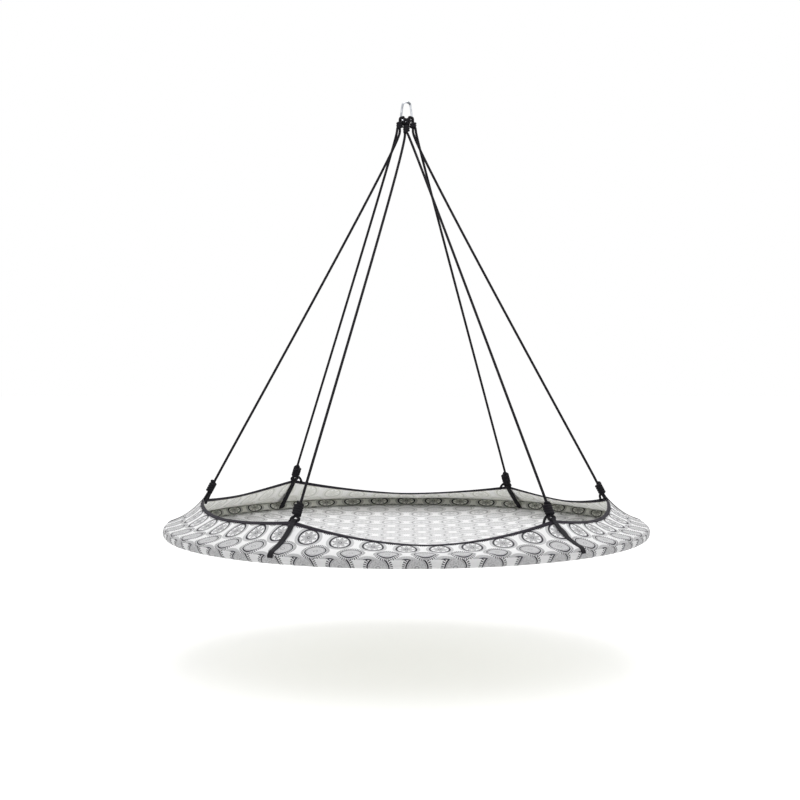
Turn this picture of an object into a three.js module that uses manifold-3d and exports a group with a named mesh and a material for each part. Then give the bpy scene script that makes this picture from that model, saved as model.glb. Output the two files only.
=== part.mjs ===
// A round hanging daybed: a fabric pod on a steel ring, held by six rope legs
// that hitch on one snap hook. Millimetres, +Z up. The origin is the place
// inside the top of the snap hook where a ceiling eye carries it.
import * as THREE from 'three';
import Module from 'manifold-3d';
import { mergeVertices } from 'three/addons/utils/BufferGeometryUtils.js';

const wasm = await Module();
wasm.setup();

const vec = (x, y, z) => new THREE.Vector3(x, y, z);
const rad = THREE.MathUtils.degToRad;

// Common gap between pieces that touch
const gap = 0.3;

// Snap hook
const hookHeight = 84;
const hookWidth = 50;
const hookTopWidth = 40;
const hookWire = 9;
const gateTop = -12;
const gateLength = 28;
const gateWire = 8;
const gateBore = 4.2;
const gateBoreDepth = 14;
const tongueWidth = 4;
const rivetDiameter = 3;
const rivetHeadDiameter = 5.4;
const rivetHeadHeight = 1.2;
const noseLip = 5;
const springWall = 0.9;

// Rope
const rope = 8;
const ropeSides = 6;
const hitchWrap = 0.5;
const middleHitch = 21.75;
const sideHitch = 72;
const hitchPast = 115;
const legBend = 14;
const flexDrop = 118;
const straightEnd = 8;

// Ring of steel tube, in equal lengths that plug together
const ringDrop = 1620;
const ringRadius = 896;
const tubeDiameter = 32;
const tubeWall = 1.5;
const tubeSides = 8;
const ringPieces = 6;
const firstJoint = 30;
const spigotLength = 60;
const ringStep = 9;

// Fabric
const cloth = 1.6;
const sleeveCloth = 1;
const sleeveSides = 12;
const sleeveSeam = 205;
const sleeveSeamOpening = 3;
const flapAngle = 22;
const flapGap = 0.5;
const floorEdgeAngle = 208;
const floorSag = 52;
const cornerRadius = 777;
const edgeBow = 24;
const wallHollow = 5;
const bindingHeight = 13;
const bindingThickness = 0.9;

// Corners, counter-clockwise from the right: the place of each on the ring in
// degrees, its height over the ring, how far the edge dips before the next, where
// its rope leg starts in X, how far its knot stands over the strap's eye, and the
// side to which the knot's tail goes, 1 for counter-clockwise
const corners = [
  { name: 'right', angle: 6, height: 104, dip: 37, leg: 27, rise: 14, tail: 1 },
  { name: 'back_right', angle: 56, height: 95, dip: 54, leg: 38, rise: 14, tail: 1 },
  { name: 'back_left', angle: 128, height: 125, dip: 25, leg: -38, rise: 16, tail: -1 },
  { name: 'left', angle: 178, height: 105, dip: 25, leg: -27, rise: 26, tail: 1 },
  { name: 'front_left', angle: 241, height: 104, dip: 66, leg: -5.5, rise: 17, tail: -1 },
  { name: 'front_right', angle: 310, height: 98, dip: 33, leg: 5.5, rise: 14, tail: -1 },
];
const dipPower = 1.7;

// Webbing strap at each corner
const strapWidth = 22;
const strapThickness = 1.6;
const eyeRoom = 0.5;
const slitBelow = 332;
const slitAbove = 378;

// Knot at the foot of each rope leg
const knotTurns = 4.5;
const knotPitch = 8.7;
const knotCore = 4.4;
const knotWrap = 8.85;
const eyeBend = 5;
const firstTurn = 105;
const tailLength = 32;
const tailDrop = 8;
const turnSteps = 12;

const materials = {
  steel: new THREE.MeshStandardMaterial({ color: 0xc9ccd0, roughness: 0.22, metalness: 1 }),
  tube: new THREE.MeshStandardMaterial({ color: 0x2b2b2e, roughness: 0.5, metalness: 0.6 }),
  rope: new THREE.MeshStandardMaterial({ color: 0x1c1b20, roughness: 0.85, metalness: 0 }),
  webbing: new THREE.MeshStandardMaterial({ color: 0x211f25, roughness: 0.8, metalness: 0 }),
  fabric: new THREE.MeshStandardMaterial({ color: 0xd9d9da, roughness: 0.9, metalness: 0 }),
  binding: new THREE.MeshStandardMaterial({ color: 0x2c2930, roughness: 0.85, metalness: 0 }),
};

// Closed bodies from rings of points
function meshFrom(positions, indices) {
  const geometry = new THREE.BufferGeometry();
  geometry.setAttribute('position', new THREE.Float32BufferAttribute(positions, 3));
  geometry.setIndex(indices);
  let volume = 0;
  const corner = [vec(0, 0, 0), vec(0, 0, 0), vec(0, 0, 0)];
  for (let i = 0; i < indices.length; i += 3) {
    corner.forEach((point, k) => point.fromArray(positions, 3 * indices[i + k]));
    volume += corner[0].dot(corner[1].clone().cross(corner[2]));
  }
  if (volume < 0) {
    for (let i = 0; i < indices.length; i += 3) {
      [indices[i], indices[i + 1]] = [indices[i + 1], indices[i]];
    }
    geometry.setIndex(indices);
  }
  return geometry;
}

// Joins rings that have the same number of points; an open row is capped. Each
// four-sided face is cut from its lower point to the upper point of the next
// ring, so that the two faces of a thin cloth stay parallel.
function loft(rings, closed) {
  const count = rings[0].length;
  const positions = rings.flat().flatMap((point) => point.toArray());
  const indices = [];
  const last = closed ? rings.length : rings.length - 1;
  for (let i = 0; i < last; i += 1) {
    const next = (i + 1) % rings.length;
    for (let j = 0; j < count; j += 1) {
      const side = (j + 1) % count;
      const [a, b] = [i * count + j, i * count + side];
      const [c, d] = [next * count + side, next * count + j];
      const rises = rings[i][side].z >= rings[i][j].z;
      indices.push(...(rises ? [a, b, c, a, c, d] : [a, b, d, b, c, d]));
    }
  }
  if (!closed) {
    for (const [ring, flip] of [[0, true], [rings.length - 1, false]]) {
      const centre = positions.length / 3;
      const middle = vec(0, 0, 0);
      rings[ring].forEach((point) => middle.add(point));
      positions.push(...middle.divideScalar(count).toArray());
      for (let j = 0; j < count; j += 1) {
        const [a, b] = [ring * count + j, ring * count + ((j + 1) % count)];
        indices.push(...(flip ? [b, a, centre] : [a, b, centre]));
      }
    }
  }
  return meshFrom(positions, indices);
}

// A solid round tube along a row of points, turned as little as possible.
// roundStart gives its first end a dome round the first point.
function tubeAlong(points, radius, sides, roundStart = false) {
  const forward = points.map((point, i) => {
    const before = points[Math.max(i - 1, 0)];
    const after = points[Math.min(i + 1, points.length - 1)];
    return after.clone().sub(before).normalize();
  });
  const start = Math.abs(forward[0].y) < 0.9 ? vec(0, 1, 0) : vec(1, 0, 0);
  let side = start.sub(forward[0].clone().multiplyScalar(start.dot(forward[0]))).normalize();
  const rings = [];
  points.forEach((point, i) => {
    side = side.clone().sub(forward[i].clone().multiplyScalar(side.dot(forward[i]))).normalize();
    const up = forward[i].clone().cross(side);
    const ring = (size, shift) => Array.from({ length: sides }, (_, k) => {
      const angle = (2 * Math.PI * k) / sides;
      return point.clone()
        .addScaledVector(side, size * Math.cos(angle))
        .addScaledVector(up, size * Math.sin(angle))
        .addScaledVector(forward[i], shift);
    });
    if (i === 0 && roundStart) {
      for (const angle of [rad(75), rad(40)]) {
        rings.push(ring(radius * Math.cos(angle), -radius * Math.sin(angle)));
      }
    }
    rings.push(ring(radius, 0));
  });
  return loft(rings, false);
}

function toSolid(geometry) {
  const bare = geometry.clone();
  bare.deleteAttribute('normal');
  bare.deleteAttribute('uv');
  const merged = mergeVertices(bare);
  return new wasm.Manifold(new wasm.Mesh({
    numProp: 3,
    vertProperties: merged.attributes.position.array,
    triVerts: Uint32Array.from(merged.index.array),
  }));
}

function toGeometry(solid) {
  const mesh = solid.getMesh();
  const geometry = new THREE.BufferGeometry();
  geometry.setAttribute('position', new THREE.BufferAttribute(mesh.vertProperties, 3));
  geometry.setIndex(new THREE.BufferAttribute(mesh.triVerts, 1));
  return geometry;
}

function node(name, geometry, material) {
  const mesh = new THREE.Mesh(geometry, materials[material]);
  mesh.name = name;
  return mesh;
}

// Places round the ring, in degrees: the ends of each flat under a strap, the
// tube joints, and even steps between them
const flat = THREE.MathUtils.radToDeg((strapWidth / 2 + 2) / ringRadius);
const jointStep = 360 / ringPieces;
const joints = Array.from({ length: ringPieces }, (_, i) => firstJoint + i * jointStep);
const spigotAngle = THREE.MathUtils.radToDeg(spigotLength / ringRadius);
function ringPlaces() {
  const fixed = [
    ...joints,
    ...joints.map((joint) => joint - spigotAngle),
    ...corners.flatMap(({ angle }) => [angle - flat, angle + flat]),
  ];
  fixed.sort((a, b) => a - b);
  return fixed.flatMap((from, i) => {
    const to = i + 1 < fixed.length ? fixed[i + 1] : fixed[0] + 360;
    const steps = Math.ceil((to - from) / ringStep);
    return Array.from({ length: steps }, (_, k) => from + ((to - from) * k) / steps);
  });
}
const places = ringPlaces();

// A point given by its radius and height at a place round the ring
function around(place, radius, height) {
  const angle = rad(place);
  return vec(radius * Math.cos(angle), radius * Math.sin(angle), height);
}

// A point on a circle round the middle of the ring tube, in radius and height
function onTube(size, degrees) {
  const angle = rad(degrees);
  return [ringRadius + size * Math.cos(angle), size * Math.sin(angle)];
}

const tubeRadius = tubeDiameter / 2;
const strapRound = tubeRadius + gap + strapThickness / 2;
const sleeveInside = tubeRadius + gap + strapThickness + gap;
const sleeveCorner = sleeveInside / Math.cos(Math.PI / sleeveSides);
const sleeveOutside = sleeveCorner + sleeveCloth;
const wallRound = (sleeveOutside + flapGap + cloth / 2) / Math.cos(rad(flapAngle / 2));
const strapOutside = wallRound + cloth / 2 + gap + strapThickness / 2;

// The bay that a place lies in, and how far through it, from -1 to 1
function bayAt(place) {
  const turn = (place + 720) % 360;
  const from = corners.findIndex((corner, i) => {
    const next = corners[(i + 1) % corners.length].angle + (i === corners.length - 1 ? 360 : 0);
    const shifted = turn < corners[0].angle - flat - 1e-6 ? turn + 360 : turn;
    return shifted >= corner.angle - flat - 1e-6 && shifted < next - flat - 1e-6;
  });
  const corner = corners[from];
  const next = corners[(from + 1) % corners.length];
  const start = corner.angle + flat;
  const end = next.angle - flat + (next.angle < corner.angle ? 360 : 0);
  const shifted = turn < corners[0].angle - flat - 1e-6 ? turn + 360 : turn;
  const through = THREE.MathUtils.clamp((2 * (shifted - start)) / (end - start) - 1, -1, 1);
  return { corner, next, through };
}

// The top edge of the wall at a place round the ring: radius and height
function edgeAt(place) {
  const { corner, next, through } = bayAt(place);
  const mean = THREE.MathUtils.lerp(corner.height, next.height, (through + 1) / 2);
  const dip = corner.dip * (1 - Math.abs(through) ** dipPower);
  return [cornerRadius - edgeBow * (1 - through ** 2), mean - dip];
}

// Where a line from a point touches the outer top of a circle round the tube
function touchAngle(size, [radius, height]) {
  const across = radius - ringRadius;
  const away = Math.hypot(across, height);
  return THREE.MathUtils.radToDeg(Math.atan2(height, across) - Math.acos(size / away));
}

// A row of radius and height pairs, moved sideways; left of its way is positive
function offsetRow(row, amount) {
  return row.map(([x, y], i) => {
    const [ax, ay] = row[Math.max(i - 1, 0)];
    const [bx, by] = row[Math.min(i + 1, row.length - 1)];
    const long = Math.hypot(bx - ax, by - ay);
    return [x - ((by - ay) / long) * amount, y + ((bx - ax) / long) * amount];
  });
}

function band(row, thickness) {
  return [...offsetRow(row, thickness / 2), ...offsetRow(row, -thickness / 2).reverse()];
}

function sweepRound(section) {
  return loft(places.map((place) => section(place).map(([r, z]) => around(place, r, z))), true);
}

// Ring tube: each length has a spigot that plugs into the length before it
function ringPiece(from, to) {
  const gapAngle = THREE.MathUtils.radToDeg(gap / ringRadius);
  const inside = tubeRadius - tubeWall;
  const spigot = inside - gap;
  const between = places.concat(places.map((place) => place + 360))
    .filter((place) => place > from + 1e-6 && place < to - 1e-6);
  const along = [from + gapAngle, ...between, to];
  const profile = [
    [from - spigotAngle, spigot],
    [from + gapAngle, spigot],
    ...along.map((place) => [place, tubeRadius]),
    ...along.slice(1).reverse().map((place) => [place, inside]),
    [from + gapAngle, spigot - tubeWall],
    [from - spigotAngle, spigot - tubeWall],
  ];
  const rings = Array.from({ length: tubeSides }, (_, k) => profile.map(([place, size]) => {
    const [radius, height] = onTube(size, (360 * (k + 0.5)) / tubeSides);
    return around(place, radius, height);
  }));
  return loft(rings, true);
}

function sleeve() {
  const start = sleeveSeam + sleeveSeamOpening / 2;
  const sweep = 360 - sleeveSeamOpening;
  const angles = Array.from({ length: sleeveSides + 1 }, (_, k) => start + (sweep * k) / sleeveSides);
  const section = [
    ...angles.map((angle) => onTube(sleeveOutside, angle)),
    ...angles.reverse().map((angle) => onTube(sleeveCorner, angle)),
  ];
  return sweepRound(() => section);
}

// The point a distance before the end of a line, in radius and height
function pointBefore(end, start, distance) {
  const share = distance / Math.hypot(end[0] - start[0], end[1] - start[1]);
  return end.map((value, k) => THREE.MathUtils.lerp(value, start[k], share));
}

// Middle of the wall's cloth from its flap on the sleeve up to its edge
function wallRow(place) {
  const edge = edgeAt(place);
  const touch = touchAngle(wallRound, edge);
  const foot = onTube(wallRound, touch);
  const { through } = bayAt(place);
  const rise = [1 / 3, 2 / 3].map((share) => {
    const [x, y] = foot.map((value, k) => THREE.MathUtils.lerp(value, edge[k], share));
    const hollow = wallHollow * (1 - through ** 2);
    const slope = Math.atan2(edge[1] - foot[1], edge[0] - foot[0]);
    return [x - Math.sin(slope) * hollow, y + Math.cos(slope) * hollow];
  });
  const hem = pointBefore(edge, rise[1], bindingHeight);
  return [onTube(wallRound, touch - flapAngle), foot, ...rise, hem, edge];
}

// Way of the wall's cloth at its edge, and the way square to it, outwards
function edgeFrame(place) {
  const row = wallRow(place);
  const [[ax, ay], [bx, by]] = row.slice(-2);
  const long = Math.hypot(bx - ax, by - ay);
  const up = [(bx - ax) / long, (by - ay) / long];
  return { edge: [bx, by], up, out: [up[1], -up[0]] };
}

function bindingSection(place) {
  const { edge, up, out } = edgeFrame(place);
  const inner = cloth / 2 + gap;
  const outer = inner + bindingThickness;
  const top = gap + bindingThickness;
  const corner = (across, along) => [0, 1].map((k) => edge[k] + out[k] * across + up[k] * along);
  return [
    corner(-inner, -bindingHeight), corner(-inner, gap), corner(inner, gap),
    corner(inner, -bindingHeight), corner(outer, -bindingHeight), corner(outer, top),
    corner(-outer, top), corner(-outer, -bindingHeight),
  ];
}

function floorPanel() {
  const thin = (cloth / 2) * Math.abs(Math.sin(rad(floorEdgeAngle)));
  const [edgeRadius, edgeHeight] = onTube(sleeveOutside + gap + thin, floorEdgeAngle);
  const shares = [0.15, 0.4, 0.62, 0.8, 0.92, 1];
  const row = shares.map((share) => [
    edgeRadius * share,
    edgeHeight - floorSag * (1 - share ** 3),
  ]);
  const faces = [
    ...row.map(([radius, height]) => [radius, height + cloth / 2]),
    ...row.map(([radius, height]) => [radius, height - cloth / 2]).reverse(),
  ];
  return loft(faces.map(([radius, height]) => places.map((place) => around(place, radius, height))), false);
}

// Each strap is a closed loop of webbing in the upright plane of its corner
function seatOf(corner) {
  const { edge, up } = edgeFrame(corner.angle);
  const lift = gap + bindingThickness + gap + rope / 2;
  return [edge[0] + up[0] * lift, edge[1] + up[1] * lift];
}

function strapRow(corner) {
  const seat = seatOf(corner);
  const eye = rope / 2 + eyeRoom + strapThickness / 2;
  const across = seat[0] - ringRadius;
  const away = Math.hypot(across, seat[1]);
  const toSeat = THREE.MathUtils.radToDeg(Math.atan2(seat[1], across));
  const lean = (size) => THREE.MathUtils.radToDeg(Math.acos((size - eye) / away));
  const outside = toSeat - lean(strapOutside);
  const inside = toSeat + lean(strapRound);
  const arc = (centre, from, to, steps, fromSize, toSize) => (
    Array.from({ length: steps + 1 }, (_, k) => {
      const angle = rad(from + ((to - from) * k) / steps);
      const size = THREE.MathUtils.lerp(fromSize, toSize, THREE.MathUtils.smoothstep(k / steps, 0, 1));
      return [centre[0] + size * Math.cos(angle), centre[1] + size * Math.sin(angle)];
    })
  );
  const middle = [ringRadius, 0];
  return [
    ...arc(seat, outside, inside, 6, eye, eye),
    ...arc(middle, inside, slitBelow, 6, strapRound, strapRound),
    ...arc(middle, slitBelow, slitAbove, 4, strapRound, strapOutside).slice(1),
    ...arc(middle, slitAbove, outside + 360, 2, strapOutside, strapOutside).slice(1),
  ];
}

function strapLoop(corner, thickness, width) {
  const row = strapRow(corner);
  const count = row.length;
  const offset = (amount) => row.map(([x, y], i) => {
    const [ax, ay] = row[(i + count - 1) % count];
    const [bx, by] = row[(i + 1) % count];
    const long = Math.hypot(bx - ax, by - ay);
    return new THREE.Vector2(x + ((by - ay) / long) * amount, y - ((bx - ax) / long) * amount);
  });
  const shape = new THREE.Shape(offset(thickness / 2));
  shape.holes.push(new THREE.Path(offset(-thickness / 2)));
  const geometry = new THREE.ExtrudeGeometry(shape, { depth: width, bevelEnabled: false });
  const angle = rad(corner.angle);
  const out = vec(Math.cos(angle), Math.sin(angle), 0);
  const up = vec(0, 0, 1);
  const turn = new THREE.Matrix4().makeBasis(out, up, out.clone().cross(up));
  geometry.translate(0, 0, -width / 2);
  geometry.applyMatrix4(turn);
  return geometry;
}

// Hook wire: a small arc on top, a large one below, and straight sides. An
// angle of 0 is the bottom and positive runs up the right side (+X).
const wireRadius = hookWire / 2;
const topArc = hookTopWidth / 2 - wireRadius;
const bottomArc = hookWidth / 2 - wireRadius;
const topCentre = wireRadius - topArc;
const bottomCentre = 2 * wireRadius - hookHeight + hookWidth / 2;
const sideLean = Math.asin((bottomArc - topArc) / (topCentre - bottomCentre));
const turnRadius = wireRadius + rope / 2 + hitchWrap;
const sideStart = vec(bottomArc * Math.cos(sideLean), 0, bottomCentre + bottomArc * Math.sin(sideLean));
const sideWay = vec(-Math.sin(sideLean), 0, Math.cos(sideLean));

function sideAt(height) {
  return sideStart.clone().addScaledVector(sideWay, (height - sideStart.z) / sideWay.z);
}

// Place on the wire and the way into the hook's eye there
function wireAt(degrees) {
  const mirror = Math.sign(degrees) || 1;
  const limit = Math.PI / 2 + sideLean;
  const angle = Math.min(Math.abs(rad(degrees)), limit);
  const point = vec(bottomArc * Math.sin(angle), 0, bottomCentre - bottomArc * Math.cos(angle));
  const beyond = Math.abs(rad(degrees)) - angle;
  point.addScaledVector(sideWay, beyond * (bottomArc - turnRadius));
  const inward = vec(-Math.sin(angle), 0, Math.cos(angle));
  point.x *= mirror;
  inward.x *= mirror;
  return { point, inward };
}

// A hitch: rope turned once or twice round the wire, with a leg at the back and
// one in front that end straight over the legs below
function hitch(firstAngle, lastAngle, wholeTurns, backLeg, frontLeg) {
  const front = vec(0, -1, 0);
  const turns = [];
  const startTurn = -hitchPast;
  const endTurn = hitchPast + 360 * wholeTurns;
  const steps = Math.round(((endTurn - startTurn) / 360) * turnSteps);
  for (let k = 0; k <= steps; k += 1) {
    const turn = startTurn + ((endTurn - startTurn) * k) / steps;
    const { point, inward } = wireAt(firstAngle + ((lastAngle - firstAngle) * turn) / 360);
    turns.push(point
      .addScaledVector(inward, turnRadius * Math.cos(rad(turn)))
      .addScaledVector(front, turnRadius * Math.sin(rad(turn))));
  }
  const stub = (points, legX) => {
    const [near, next] = points;
    const out = near.clone().addScaledVector(near.clone().sub(next).normalize(), legBend);
    const foot = vec(legX, 0, rope / 2 + gap - flexDrop);
    const straight = foot.clone().setZ(foot.z + straightEnd);
    const above = straight.clone().setZ(straight.z + legBend);
    const bend = new THREE.CubicBezierCurve3(near, out, above, straight).getPoints(4);
    return [...bend.slice(1), foot];
  };
  const before = stub(turns.slice(0, 2), backLeg).reverse();
  const after = stub(turns.slice(-2).reverse(), frontLeg);
  return [...before, ...turns, ...after];
}

// A rope leg: straight down to its knot, through the strap's eye, back up beside
// itself, over, round both strands and out as a tail on the pod's side
function ropeLeg(corner) {
  const [seatRadius, seatHeight] = seatOf(corner);
  const seat = around(corner.angle, seatRadius, seatHeight - ringDrop);
  const top = vec(corner.leg, 0, -flexDrop);
  const up = top.clone().sub(seat).normalize();
  const along = vec(-Math.sin(rad(corner.angle)), Math.cos(rad(corner.angle)), 0).multiplyScalar(corner.tail);
  const side = along.clone().addScaledVector(up, -along.dot(up)).normalize();
  const out = side.clone().cross(up).multiplyScalar(corner.tail);
  const at = (across, off, rise) => seat.clone()
    .addScaledVector(side, across).addScaledVector(out, off).addScaledVector(up, rise);
  const eye = (across, rise) => seat.clone().addScaledVector(along, across).addScaledVector(up, rise);
  const half = strapWidth / 2 + gap;
  const knotTop = corner.rise + knotTurns * knotPitch + rope;
  const points = [top, at(-knotCore, 0, knotTop + 2 * rope), at(-knotCore, 0, corner.rise)];
  const bends = [35, 0, -30, -60, -90].map(rad);
  const bend = (way, angle) => eye(way * (half + eyeBend * Math.cos(angle)), eyeBend * (1 + Math.sin(angle)));
  points.push(...bends.map((angle) => bend(-1, angle)));
  points.push(...bends.reverse().map((angle) => bend(1, angle)));
  points.push(at(knotCore, 0, corner.rise), at(knotCore, 0, knotTop - 6));
  points.push(at(knotCore + 0.6, 0.8, knotTop), at(knotCore + 1, 5.4, knotTop + 3.4));
  points.push(at(knotCore - 1, 9.3, knotTop - 0.5));
  const steps = knotTurns * turnSteps;
  for (let k = 0; k <= steps; k += 1) {
    const turn = rad(firstTurn + (360 * k) / turnSteps);
    const strand = Math.sign(Math.cos(turn)) * knotCore;
    const rise = knotTop - rope / 2 - 0.8 - (k * knotPitch) / turnSteps;
    points.push(at(strand + knotWrap * Math.cos(turn), knotWrap * Math.sin(turn), rise));
  }
  const [before, last] = points.slice(-2);
  const leave = last.clone().addScaledVector(last.clone().sub(before).normalize(), 6);
  const tip = at(tailLength, -knotWrap - 4, -tailDrop);
  const down = tip.clone().addScaledVector(side, -0.2 * tailLength).addScaledVector(up, tailDrop + 6);
  points.push(...new THREE.CubicBezierCurve3(last, leave, down, tip).getPoints(4).slice(1));
  return points;
}

// Least gap between parts of one rope that are more than four diameters apart
// along it, from points half a radius apart
function leastGap(points) {
  const fine = [];
  const reach = [];
  let along = 0;
  for (let i = 1; i < points.length; i += 1) {
    const long = points[i].distanceTo(points[i - 1]);
    const steps = Math.ceil(long / 2);
    for (let k = 0; k < steps; k += 1) {
      fine.push(points[i - 1].clone().lerp(points[i], k / steps));
      reach.push(along + (long * k) / steps);
    }
    along += long;
  }
  let least = Infinity;
  fine.forEach((point, i) => {
    for (let j = i + 1; j < fine.length; j += 1) {
      if (reach[j] - reach[i] > 3 * rope) {
        least = Math.min(least, point.distanceTo(fine[j]));
      }
    }
  });
  return least - rope;
}

const round = 12;
function pinAcross(diameter, from, to, { x, z }) {
  const geometry = new THREE.CylinderGeometry(diameter / 2, diameter / 2, to - from, 2 * round);
  geometry.translate(x, (from + to) / 2, z);
  return toSolid(geometry);
}

const pivot = sideAt(gateTop);
const gateEnd = pivot.clone().addScaledVector(sideWay, -gateLength);
const outwards = vec(sideWay.z, 0, -sideWay.x);
const cheekRoom = hookWire / 2 + 1;
const farSide = hookWire;

// A block in the upright plane of the hook, set along the hook's right side
function sideBlock(centre, across, along, deep) {
  const geometry = new THREE.BoxGeometry(across, deep, along);
  geometry.rotateY(Math.atan2(sideWay.x, sideWay.z));
  geometry.translate(centre.x, centre.y, centre.z);
  return toSolid(geometry);
}

function lipBlock(margin) {
  const across = hookWire;
  const reach = noseLip + margin;
  const centre = gateEnd.clone()
    .addScaledVector(sideWay, reach / 2 - noseLip / 2)
    .addScaledVector(outwards, across / 2 + 1.2 - margin);
  return sideBlock(centre, across, reach + noseLip, farSide * 2);
}

function hookBody() {
  const points = [pivot.clone()];
  const topSteps = 9;
  const bottomSteps = 14;
  for (let k = 0; k <= topSteps; k += 1) {
    const angle = sideLean + ((Math.PI - 2 * sideLean) * k) / topSteps;
    points.push(vec(topArc * Math.cos(angle), 0, topCentre + topArc * Math.sin(angle)));
  }
  for (let k = 0; k <= bottomSteps; k += 1) {
    const angle = Math.PI - sideLean + ((Math.PI + 2 * sideLean) * k) / bottomSteps;
    points.push(vec(bottomArc * Math.cos(angle), 0, bottomCentre + bottomArc * Math.sin(angle)));
  }
  points.push(gateEnd.clone().addScaledVector(sideWay, noseLip));
  const wire = toSolid(tubeAlong(points, wireRadius, round));
  const half = tongueWidth / 2;
  const nose = sideBlock(gateEnd.clone().addScaledVector(sideWay, noseLip), 2 * hookWire, 2 * noseLip, 2 * hookWire)
    .subtract(lipBlock(0));
  return wire
    .subtract(pinAcross(2 * cheekRoom, half, farSide, pivot))
    .subtract(pinAcross(2 * cheekRoom, -farSide, -half, pivot))
    .add(pinAcross(hookWire - 0.4, -half, half, pivot))
    .subtract(pinAcross(rivetDiameter + 2 * gap, -farSide, farSide, pivot))
    .subtract(nose);
}

function gate() {
  const half = tongueWidth / 2 + gap;
  const cheek = hookWire / 2;
  const points = [pivot.clone(), gateEnd.clone().addScaledVector(sideWay, gap)];
  const bar = toSolid(tubeAlong(points, gateWire / 2, round));
  const boreStart = pivot.clone();
  const boreEnd = pivot.clone().addScaledVector(sideWay, -cheekRoom - gateBoreDepth);
  const bore = toSolid(tubeAlong([boreStart, boreEnd], gateBore / 2, round));
  return bar
    .add(pinAcross(hookWire, -cheek, cheek, pivot))
    .subtract(pinAcross(2 * cheekRoom, -half, half, pivot))
    .subtract(bore)
    .subtract(lipBlock(gap))
    .subtract(pinAcross(rivetDiameter + 2 * gap, -farSide, farSide, pivot));
}

function gateSpring() {
  const size = gateBore / 2 - gap / 2;
  const start = cheekRoom;
  const end = cheekRoom + gateBoreDepth - gap;
  const profile = [
    [size - springWall, start], [size, start], [size, end], [size - springWall, end], [size - springWall, start],
  ].map(([x, y]) => new THREE.Vector2(x, y));
  const geometry = new THREE.LatheGeometry(profile, round);
  geometry.rotateX(-Math.PI / 2);
  geometry.rotateY(Math.atan2(sideWay.x, sideWay.z));
  geometry.translate(pivot.x, pivot.y, pivot.z);
  return geometry;
}

function rivet() {
  const cheek = hookWire / 2 + gap;
  const head = cheek + rivetHeadHeight;
  return pinAcross(rivetDiameter, -head, head, pivot)
    .add(pinAcross(rivetHeadDiameter, cheek, head, pivot))
    .add(pinAcross(rivetHeadDiameter, -head, -cheek, pivot));
}

const daybed = new THREE.Group();
const hook = new THREE.Group();
const pod = new THREE.Group();
pod.position.z = -ringDrop;
daybed.add(hook, pod);

hook.add(
  node('snap_hook_body', toGeometry(hookBody()), 'steel'),
  node('snap_hook_gate', toGeometry(gate()), 'steel'),
  node('gate_spring', gateSpring(), 'steel'),
  node('gate_rivet', toGeometry(rivet()), 'steel'),
);

const legX = Object.fromEntries(corners.map(({ name, leg }) => [name, leg]));
const hitches = {
  left: hitch(-sideHitch, -sideHitch, 0, legX.back_left, legX.left),
  middle: hitch(-middleHitch, middleHitch, 1, legX.front_left, legX.front_right),
  right: hitch(sideHitch, sideHitch, 0, legX.back_right, legX.right),
};
for (const [name, points] of Object.entries(hitches)) {
  hook.add(node(`hitch_${name}`, tubeAlong(points, rope / 2, ropeSides), 'rope'));
  console.log(`hitch ${name}: least gap to itself ${leastGap(points).toFixed(2)} mm`);
}

let sleeveSolid = toSolid(sleeve());
for (const corner of corners) {
  const points = ropeLeg(corner);
  daybed.add(node(`rope_${corner.name}`, tubeAlong(points, rope / 2, ropeSides, true), 'rope'));
  console.log(`rope ${corner.name}: least gap to itself ${leastGap(points).toFixed(2)} mm`);
  pod.add(node(`strap_${corner.name}`, strapLoop(corner, strapThickness, strapWidth), 'webbing'));
  const slit = toSolid(strapLoop(corner, strapThickness + 2 * gap, strapWidth + 2 * gap));
  sleeveSolid = sleeveSolid.subtract(slit);
}

joints.forEach((joint, i) => {
  pod.add(node(`ring_tube_${i + 1}`, ringPiece(joint, joint + jointStep), 'tube'));
});
pod.add(
  node('ring_sleeve', toGeometry(sleeveSolid), 'fabric'),
  node('wall_band', sweepRound((place) => band(wallRow(place), cloth)), 'fabric'),
  node('floor_panel', floorPanel(), 'fabric'),
  node('edge_binding', sweepRound(bindingSection), 'binding'),
);

export default daybed;
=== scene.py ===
import math

import bpy
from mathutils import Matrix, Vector, noise


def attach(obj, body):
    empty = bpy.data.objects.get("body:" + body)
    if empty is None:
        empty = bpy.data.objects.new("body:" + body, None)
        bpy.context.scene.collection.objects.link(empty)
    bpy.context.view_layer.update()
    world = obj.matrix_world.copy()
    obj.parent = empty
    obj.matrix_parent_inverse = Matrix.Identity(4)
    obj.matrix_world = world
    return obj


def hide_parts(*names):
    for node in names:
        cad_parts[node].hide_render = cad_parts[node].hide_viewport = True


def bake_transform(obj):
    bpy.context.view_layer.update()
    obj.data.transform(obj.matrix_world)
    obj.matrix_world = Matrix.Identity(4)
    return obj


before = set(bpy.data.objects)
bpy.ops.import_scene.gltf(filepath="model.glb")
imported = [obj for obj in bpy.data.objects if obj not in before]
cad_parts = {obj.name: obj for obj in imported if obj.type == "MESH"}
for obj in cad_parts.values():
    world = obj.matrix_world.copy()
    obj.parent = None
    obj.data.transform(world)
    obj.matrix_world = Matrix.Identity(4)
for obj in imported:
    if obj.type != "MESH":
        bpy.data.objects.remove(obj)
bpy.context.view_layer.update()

mm = 0.001
gap = 0.3 * mm

# Snap hook, and the places on its top bend where a dark reflection is painted on the steel
hook_height = 84 * mm
hook_width = 50 * mm
hook_top_width = 40 * mm
hook_wire = 9 * mm
painted_dark_reflections = [((10 * mm, 0, 0), 7 * mm), ((-14 * mm, 0, -3 * mm), 1 * mm)]

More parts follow.
